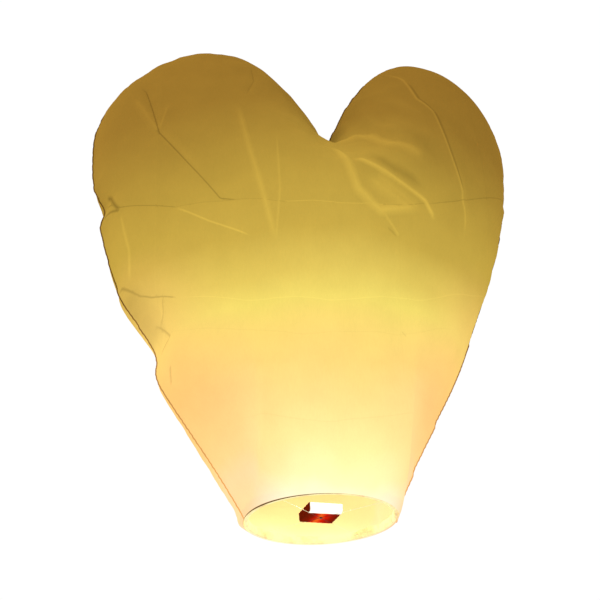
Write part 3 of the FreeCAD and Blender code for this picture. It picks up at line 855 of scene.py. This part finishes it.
def drawn_in(points):
    """Sideways pull of the tucks at the left seam, and of the tight seam on the left side of the cleft."""
    pull = np.zeros((len(points), 3))
    for (x, z), amount, above, below in TUCKS:
        rise = points[:, 1] - z
        reach = np.where(rise > 0.0, above, below)
        near = np.maximum(0.0, 1.0 - np.abs(rise) / reach)
        near *= np.exp(-np.maximum(0.0, points[:, 0] - x) / TUCK_DEPTH)
        pull[:, 0] += amount * smooth(near)
    amount, lift, above, below, reach = CLEFT_PULL
    rise = points[:, 1] - CLEFT_HEIGHT - lift
    near = np.maximum(0.0, 1.0 - np.abs(rise) / np.where(rise > 0.0, above, below))
    near *= np.exp(-np.maximum(0.0, CLEFT_SHIFT - points[:, 0]) / reach) * (points[:, 0] < CLEFT_SHIFT)
    pull[:, 0] += amount * smooth(near)
    return pull


def refine(places, flat, faces, front_count):
    """One smooth subdivision of the blown bag; the flat place and the sheet of each face go with it."""
    mesh = bpy.data.meshes.new("fine")
    mesh.from_pydata(places.tolist(), [], faces.tolist())
    flat_place = mesh.attributes.new("flat_place", "FLOAT_VECTOR", "POINT")
    flat_place.data.foreach_set("vector", np.stack([flat[:, 0], flat[:, 1], 0.0 * flat[:, 0]], 1).ravel())
    mesh.polygons.foreach_set("material_index", [0] * front_count + [1] * (len(faces) - front_count))
    mesh.materials.append(None)
    mesh.materials.append(None)
    fine = placed("fine", mesh)
    modifier = fine.modifiers.new("smooth", "SUBSURF")
    modifier.levels = 1
    modifier.boundary_smooth = "ALL"
    done = fine.evaluated_get(bpy.context.evaluated_depsgraph_get())
    result = bpy.data.meshes.new_from_object(done)
    out = read(result.vertices, "co", 3)
    normals = read(result.vertices, "normal", 3)
    cut = read(result.attributes["flat_place"].data, "vector", 3)[:, :2]
    quads = read(result.polygons, "vertices", 4, int)
    sheet = read(result.polygons, "material_index", 1, int)
    bpy.data.objects.remove(fine)
    return out, normals, cut, quads, sheet


def sheet_piece(name, cut, faces, places, normals, seam, number):
    """One finished sheet, pushed out by its folds and creases, with what its material needs at each point."""
    creases = PACKING_FOLDS + (BACK_CREASES if number else FRONT_CREASES)
    from_seam = clearance(cut, seam, closed=False)
    rise = 0.0007 * waves(cut, 0.15, 7, 21 + number)
    worn = 0.55 + 0.45 * waves(cut, 0.5, 4, 61 + number)
    for scale, height, seed in ((0.17, 0.0022, 71), (0.085, 0.0010, 81)):
        rise -= height * worn * np.abs(waves(cut, scale, 4, seed + number))
    # tint: painted shade and highlight of the crease lines, the strongest one at each point
    tint = np.zeros(len(cut))
    for crease in creases:
        height, shade = crease.relief(cut)
        rise += height * (0.75 + 0.25 * waves(cut, 0.3, 4, 31 + number))
        tint = np.where(np.abs(shade) > np.abs(tint), shade, tint)
    rise *= smooth(cut[:, 1] / 0.05) * smooth(from_seam / 0.008)
    moved = places + normals * rise[:, None] + drawn_in(cut)
    moved[:, 2] = np.maximum(moved[:, 2], 0.0)
    piece = new_piece(name, moved, faces, PAPER_SHEET)
    add_values(piece, "rest_place", moved)
    # crease holds the painted shade and highlight of the crease lines
    add_values(piece, "crease", tint)
    add_values(piece, "edge", 1.0 - smooth(from_seam / 0.25))
    layer = piece.data.uv_layers.new(name="cut")
    corners = read(piece.data.loops, "vertex_index", 1, int)
    layer.data.foreach_set("uv", cut[corners].ravel())
    return piece


def seam_piece(name, line, outward):
    """Glued margin of both sheets: a narrow, slightly wavy strip along one side's seam."""
    places = []
    along = np.r_[0.0, np.cumsum(np.linalg.norm(np.diff(line, axis=0), axis=1))]
    turns = along * 2.0 * math.pi
    wave = 0.0006 * np.sin(turns / 0.031) + 0.0005 * np.sin(turns / 0.0127 + 1.0)
    across = (0.0, 0.35, 0.7, 1.0)
    thick = 0.00025
    rings = [(share, side) for side in (-1.0, 1.0) for share in (across if side < 0.0 else across[::-1])]
    for share, side in rings:
        sway = (wave * share + side * thick)[:, None] * np.array([0.0, 1.0, 0.0])
        places.append(line + outward * (SEAM_MARGIN * share - 0.0006) + sway)
    stacked = np.stack(places, 1).reshape(-1, 3)
    stacked[:, 2] = np.maximum(stacked[:, 2], 0.0)
    piece = new_piece(name, stacked, grid_faces(len(line), len(rings), closed=True), PAPER_SEAM)
    add_values(piece, "rest_place", stacked)
    return piece


def smooth_line(values, rounds):
    """Even out a line of vectors."""
    for _ in range(rounds):
        inner = (values[:-2] + 2.0 * values[1:-1] + values[2:]) / 4.0
        values = np.vstack([values[:1], inner, values[-1:]])
    return values


def build_bag():
    """Both sheets and both margins, with the joint to the hoop bent in the neck."""
    blown, flat, faces, front_count, seam, area = blown_bag()
    places, normals, cut, quads, sheet = refine(blown, flat, faces, front_count)
    mouth_count = int(seam[0])
    loop = flat[:seam[-1] + 1]
    middles = (loop + np.roll(loop, -1, 0)) / 2.0
    loop = np.stack([loop, middles], 1).reshape(-1, 2)
    first = 2 * mouth_count
    last = 2 * int(seam[-1])
    pieces = []
    for number, (name, node) in enumerate((("front_paper", "front_panel"), ("back_paper", "back_panel"))):
        creases = PACKING_FOLDS + (BACK_CREASES if number else FRONT_CREASES)
        fine, triangles = finished_cut(loop, creases)
        where, facing = carried(fine, cut, places, normals, quads[sheet == number])
        if number == 0:
            line, _ = carried(loop, cut, places, normals, quads[sheet == 0])
        else:
            triangles = triangles[:, ::-1]
        piece = sheet_piece(name, fine, triangles, where, facing, loop[first:last + 1], number)
        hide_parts(node)
        pieces.append((piece, True))
    line = line + drawn_in(loop)
    middle = int(np.argmin(np.hypot(loop[:, 0] - CLEFT_SHIFT, loop[:, 1] - CLEFT_HEIGHT)))
    for name, node, part in (("right_margin", "right_seam", slice(first, middle + 1)),
                             ("left_margin", "left_seam", slice(middle, last + 1))):
        path = line[part]
        way = np.gradient(path, axis=0)
        way[:, 1] = 0.0
        way = smooth_line(way / np.linalg.norm(way, axis=1)[:, None], 6)
        way /= np.linalg.norm(way, axis=1)[:, None]
        outward = np.stack([way[:, 2], 0.0 * way[:, 0], -way[:, 0]], 1)
        piece = seam_piece(name, path, outward)
        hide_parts(node)
        pieces.append((piece, False))
    for piece, is_sheet in pieces:
        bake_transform(piece)


# ---- Hem, hoop, wires and fuel ----

def hem_piece(name, node, start_angle):
    """Half of the paper turned up round the hoop: an uneven channel with a torn inner edge."""
    steps = 120
    angles = np.radians(start_angle + np.linspace(0.4, 179.6, steps))
    wall = 0.0005
    low = HEM_LOW.z + 0.0003
    profile = [(0.0003, 0.92 * HEM_HEIGHT), (0.0, 0.5 * HEM_HEIGHT), (0.0003, 0.0012), (0.0015, 0.0),
               (0.0045, 0.0), (0.0062, 0.0010), (0.0066, 0.4 * HEM_HEIGHT), (0.0064, 1.05 * HEM_HEIGHT)]
    profile = [(HEM_RADIUS - inset, height) for inset, height in profile]
    inner = [(radius - (wall if index < 5 else -wall), height + (wall if 2 <= index <= 5 else 0.0))
             for index, (radius, height) in enumerate(profile)]
    ring = profile + inner[::-1]
    ragged = 0.0012 * waves(np.stack([angles * 0.15, 0.0 * angles], 1), 0.03, 6, int(start_angle) + 5)
    sway = 0.00035 * waves(np.stack([angles * 0.15, 0.0 * angles], 1), 0.06, 5, int(start_angle) + 9)
    places = []
    for angle, tear, push in zip(angles, ragged, sway):
        for radius, height in ring:
            lift = tear if height > 0.9 * HEM_HEIGHT else 0.0
            reach = radius + (push if height > 0.002 else 0.0)
            places.append((reach * math.cos(angle), reach * math.sin(angle), low + max(0.0, height + lift)))
    faces = grid_faces(steps, len(ring), closed=True)
    last = (steps - 1) * len(ring)
    faces.append(list(range(len(ring)))[::-1])
    faces.append([last + index for index in range(len(ring))])
    piece = new_piece(name, places, faces, PAPER_HEM)
    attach(piece, "hoop")
    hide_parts(node)
    return piece


def fuel_piece(number):
    """One waxed sheet: a soft-edged square with its corners eaten by the fire."""
    node = "fuel_sheet_" + str(number)
    low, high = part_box(node)
    half = FUEL_HALF
    turn = math.radians(FUEL_TURN)
    steps = 26
    places = []
    shrink = 0.0007 * waves(np.array([[0.02 * number, 0.0]]), 0.05, 4, number)[0]
    for layer in (0, 1):
        base = low.z + 0.00012 if layer == 0 else high.z - 0.00012
        for row in range(steps):
            for column in range(steps):
                u, v = 2.0 * column / (steps - 1) - 1.0, 2.0 * row / (steps - 1) - 1.0
                corner = (abs(u) ** 8 + abs(v) ** 8) / 2.0
                reach = (half - 0.0006 - abs(shrink)) * (1.0 - 0.035 * corner)
                nibble = 0.0005 * math.sin(19.0 * u + 2.1 * number) * math.cos(17.0 * v - 1.3 * number)
                x = reach * u + (nibble if abs(u) > 0.9 else 0.0)
                y = reach * v + (nibble if abs(v) > 0.9 else 0.0)
                places.append((x * math.cos(turn) - y * math.sin(turn),
                               x * math.sin(turn) + y * math.cos(turn), base))
    count = steps * steps
    sheet = grid_faces(steps, steps)
    faces = [face[::-1] for face in sheet] + [tuple(count + index for index in face) for face in sheet]
    border = [column for column in range(steps)]
    border += [row * steps + steps - 1 for row in range(1, steps)]
    border += [(steps - 1) * steps + column for column in range(steps - 2, -1, -1)]
    border += [row * steps for row in range(steps - 2, 0, -1)]
    for index, point in enumerate(border):
        after = border[(index + 1) % len(border)]
        faces.append((point, after, count + after, count + point))
    piece = new_piece("waxed_sheet_" + str(number), places, faces, FUEL)
    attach(piece, "fuel")
    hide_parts(node)
    return piece


def paint_node(name, material):
    """Give a CAD piece that stays its own material."""
    slots = NODES[name].data.materials
    if len(slots) == 0:
        slots.append(material)
    for index in range(len(slots)):
        slots[index] = material


# ---- Camera, light and stage ----

CAMERA_DISTANCE = 2.6
CAMERA_AZIMUTH = -14.0
CAMERA_ELEVATION = -30.3
CAMERA_ROLL = -3.0
CAMERA_LENS = 76.0
CAMERA_TARGET = Vector((-0.018, 0.0, 0.463))
CAMERA_PIVOT = Vector((0.0, 0.0, 0.55))
FLOOR_HEIGHT = -1.75
FLOOR_REACH = 250.0


def place_camera():
    """Camera below the lantern, looking up at its front and left side."""
    turn, tilt = math.radians(CAMERA_AZIMUTH), math.radians(CAMERA_ELEVATION)
    back = Vector((math.sin(turn) * math.cos(tilt), -math.cos(turn) * math.cos(tilt), math.sin(tilt)))
    data = bpy.data.cameras.new("camera")
    data.lens = CAMERA_LENS
    data.sensor_width = 36.0
    camera = placed("camera", data)
    camera.location = CAMERA_PIVOT + CAMERA_DISTANCE * back
    aim = (CAMERA_TARGET - camera.location).to_track_quat("-Z", "Y")
    camera.rotation_euler = aim.to_euler()
    camera.rotation_euler.rotate_axis("Z", math.radians(CAMERA_ROLL))
    bpy.context.scene.camera = camera


def add_light(name, kind, place, power, colour, **settings):
    """A lamp that shines straight down until it is turned."""
    data = bpy.data.lights.new(name, kind)
    data.energy = power
    data.color = colour
    for key, value in settings.items():
        setattr(data, key, value)
    light = placed(name, data)
    light.location = place
    return light


def build_stage():
    """Plain pale floor far below the lantern, pale surroundings and soft light."""
    world = bpy.data.worlds.new("pale_room")
    world.use_nodes = True
    background = world.node_tree.nodes["Background"]
    background.inputs["Color"].default_value = (1.0, 1.0, 1.0, 1.0)
    background.inputs["Strength"].default_value = 1.02
    bpy.context.scene.world = world
    nodes = Nodes("pale_floor")
    shader = nodes.add("BsdfPrincipled", {"Base Color": (0.965, 0.965, 0.96, 1.0), "Roughness": 0.8})
    floor_material = nodes.finish(shader.outputs[0])
    corners = [(x * FLOOR_REACH, y * FLOOR_REACH, FLOOR_HEIGHT)
               for x, y in ((-1, -1), (1, -1), (1, 1), (-1, 1))]
    floor = new_piece("floor", corners, [(0, 1, 2, 3)], floor_material, flat_shade=True)


place_camera()
build_stage()
key_light = add_light("key", "AREA", (-2.6, -1.6, 1.6), 27.0, (1.0, 0.98, 0.95), shape="DISK", size=1.2)
key_light.rotation_euler = (CAMERA_PIVOT - key_light.location).to_track_quat("-Z", "Y").to_euler()
for number, (x, y) in enumerate(((-0.016, -0.014), (0.016, -0.014), (-0.015, 0.015), (0.015, 0.015))):
    add_light("flame_" + str(number + 1), "POINT", (x, y, FUEL_TOP + 0.017), 0.5, (1.0, 0.86, 0.6),
              shadow_soft_size=0.016)

build_bag()
hem_piece("front_hem_paper", "front_hem", 180.0)
hem_piece("back_hem_paper", "back_hem", 0.0)
for sheet_number in range(1, FUEL_SHEETS + 1):
    fuel_piece(sheet_number)
paint_node("bamboo_hoop", BAMBOO)
for wire_name in ("cross_wire_lower", "cross_wire_upper", "fuel_post"):
    paint_node(wire_name, WIRE)
for binding_name in ("thread_binding_1", "thread_binding_2"):
    paint_node(binding_name, THREAD)

view = bpy.context.scene.view_settings
view.view_transform = "Standard"
view.look = "None"
